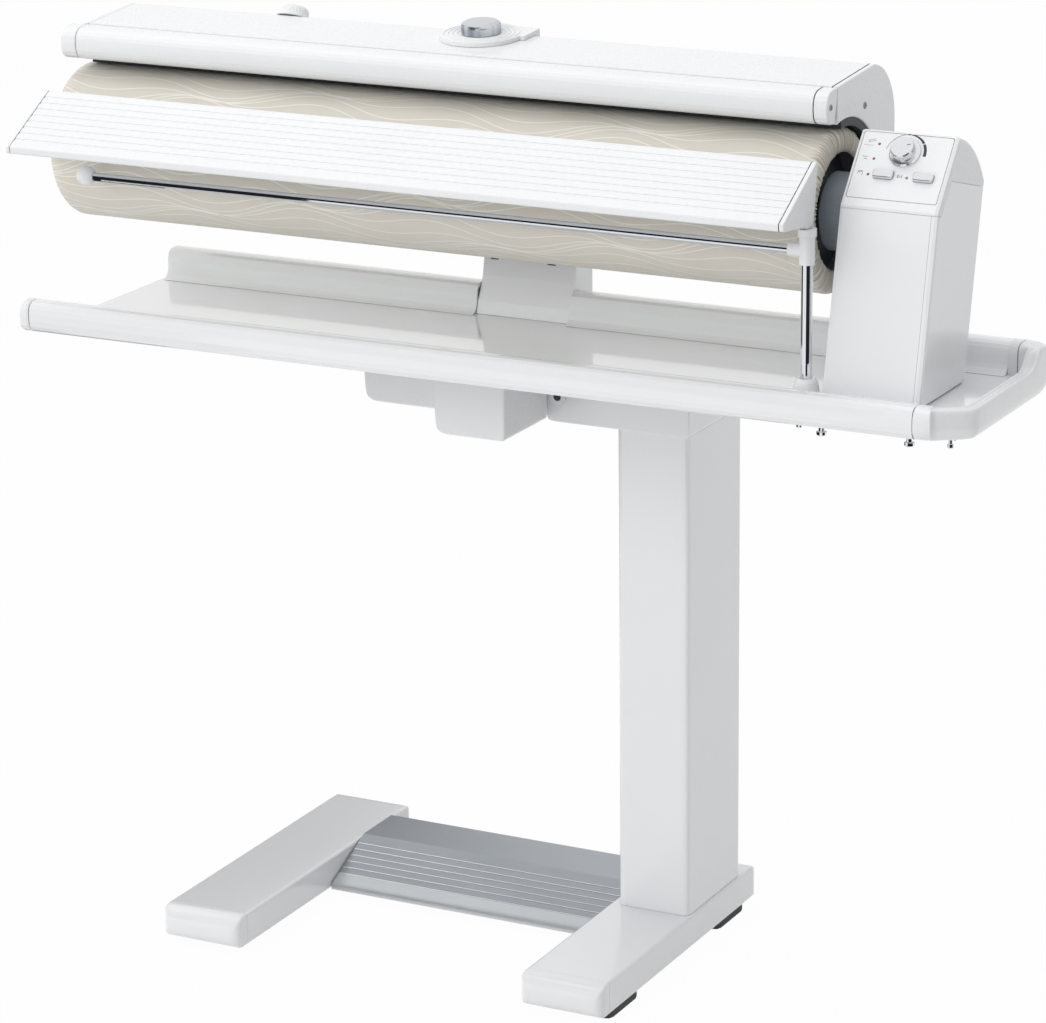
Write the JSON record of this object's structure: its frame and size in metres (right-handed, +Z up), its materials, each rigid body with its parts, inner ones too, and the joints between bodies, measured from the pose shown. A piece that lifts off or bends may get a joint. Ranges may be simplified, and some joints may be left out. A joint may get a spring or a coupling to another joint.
{
  "type": "domestic rotary flatwork ironer on a folding stand",
  "caption": "Roller ironer on a column stand: padded roller under a lifting heated plate, feed board, tray, headstock with controls, hanging rail and foot pedal.",
  "frame": {"origin": "centre of the bounding box's footprint, on the floor", "axes": "+X along the roller towards the headstock, +Y towards the back, +Z up"},
  "size_m": [1.0342, 0.4148, 0.9836],
  "materials": {
    "enamel": "gloss white",
    "white_plastic": "satin white",
    "steel": "zinc plated",
    "chrome": "polished",
    "aluminium": "satin",
    "dark_metal": "dark coated",
    "rubber": "matt",
    "grey_plastic": "matt",
    "silver_plastic": "silver painted",
    "cloth": "woven cotton",
    "felt": "felt"
  },
  "bodies": {
    "stand": {"left_foot": "enamel", "right_foot": "enamel", "left_front_pad": "rubber", "left_rear_pad": "rubber", "right_front_pad": "rubber", "right_rear_pad": "rubber", "cross_beam": "steel", "pedal_switch": "dark_metal", "column": "enamel", "column_head": "enamel", "fold_pivot_pin": "dark_metal", "rest_buffer": "rubber"},
    "pedal": {"foot_pedal": "aluminium"},
    "unit": {"carrier": "steel", "chassis_beam": "steel", "tray_panel": "enamel", "front_bar": "enamel", "front_bar_cap": "white_plastic", "back_rail_left": "enamel", "back_rail_right": "enamel", "tray_end_piece": "white_plastic", "under_tray_housing": "white_plastic", "headstock_bolts": "chrome", "headstock_shell": "enamel", "headstock_front_panel": "enamel", "headstock_hood": "white_plastic", "control_panel": "white_plastic", "gear_motor": "dark_metal", "roller_bearing_neck": "grey_plastic", "plate_support": "enamel", "feed_board": "white_plastic", "feed_board_cap_left": "white_plastic", "feed_board_cap_right": "white_plastic", "upright_socket": "white_plastic", "upright_rod": "chrome"},
    "knob": {"temperature_knob": "silver_plastic"},
    "button_left": {"left_button": "silver_plastic"},
    "button_right": {"right_button": "silver_plastic"},
    "pinion": {"motor_pinion": "steel"},
    "rail": {"rail_tee": "white_plastic", "rail_rod": "chrome", "rail_ball": "white_plastic"},
    "roller": {"drive_gear": "steel", "roller_tube": "aluminium", "roller_padding": "felt", "roller_cloth": "cloth", "roller_end_disc": "grey_plastic", "roller_shaft": "dark_metal"},
    "plate": {"heating_plate": "aluminium", "plate_arm": "aluminium", "top_cover": "white_plastic", "cover_end_right": "white_plastic", "cover_end_left": "white_plastic", "filler_plate": "white_plastic"},
    "cap": {"filler_cap": "silver_plastic"},
    "release": {"release_knob": "white_plastic"},
    "guard": {"finger_guard": "white_plastic", "guard_cap_left": "white_plastic", "guard_cap_right": "white_plastic"}
  },
  "joints": [
    {"name": "pedal_press", "type": "hinge", "parent": "stand", "child": "pedal", "pos_m": [-0.12485, 0.1535, 0.037], "axis": [1, 0, 0], "range_deg": [0, 2.5], "stiffness_Nm_per_rad": 170, "springref_deg": -0.69},
    {"name": "unit_fold", "type": "hinge", "parent": "stand", "child": "unit", "pos_m": [-0.01485, 0.1055, 0.59], "axis": [0, -1, 0], "range_deg": [0, 90]},
    {"name": "roller_spin", "type": "hinge", "parent": "unit", "child": "roller", "pos_m": [-0.09185, -0.0475, 0.833], "axis": [1, 0, 0], "continuous": true},
    {"name": "pinion_spin", "type": "hinge", "parent": "unit", "child": "pinion", "pos_m": [0.39115, -0.05751, 0.78861], "axis": [1, 0, 0], "continuous": true},
    {"name": "plate_open", "type": "hinge", "parent": "unit", "child": "plate", "pos_m": [-0.04135, 0.0475, 0.727], "axis": [-1, 0, 0], "range_deg": [0, 7]},
    {"name": "guard_tilt", "type": "hinge", "parent": "plate", "child": "guard", "pos_m": [-0.08185, -0.0695, 0.947], "axis": [1, 0, 0], "range_deg": [0, 6], "stiffness_Nm_per_rad": 4, "springref_deg": -2.29},
    {"name": "filler_cap_turn", "type": "hinge", "parent": "plate", "child": "cap", "pos_m": [-0.07925, 0.00133, 0.96192], "axis": [0, -0.0703, 0.9975], "range_deg": [0, 90]},
    {"name": "release_knob_turn", "type": "hinge", "parent": "plate", "child": "release", "pos_m": [-0.31685, 0.03772, 0.95864], "axis": [0, 0.4067, 0.9135], "range_deg": [0, 90]},
    {"name": "temperature_turn", "type": "hinge", "parent": "unit", "child": "knob", "pos_m": [0.40515, -0.07141, 0.90057], "axis": [0, -0.7633, 0.6461], "range_deg": [-135, 135]},
    {"name": "left_button_press", "type": "slide", "parent": "unit", "child": "button_left", "axis": [0, 0.7633, -0.6461], "range_m": [0, 0.0015], "stiffness_N_per_m": 500, "springref_m": -0.001},
    {"name": "right_button_press", "type": "slide", "parent": "unit", "child": "button_right", "axis": [0, 0.7633, -0.6461], "range_m": [0, 0.0015], "stiffness_N_per_m": 500, "springref_m": -0.001},
    {"name": "rail_swing", "type": "hinge", "parent": "unit", "child": "rail", "pos_m": [0.33965, -0.1485, 0.817], "axis": [0, 0, 1], "range_deg": [0, 90]}
  ],
  "couplings": [
    {"joint": "pinion_spin", "follows": "roller_spin", "ratio": -4}
  ]
}
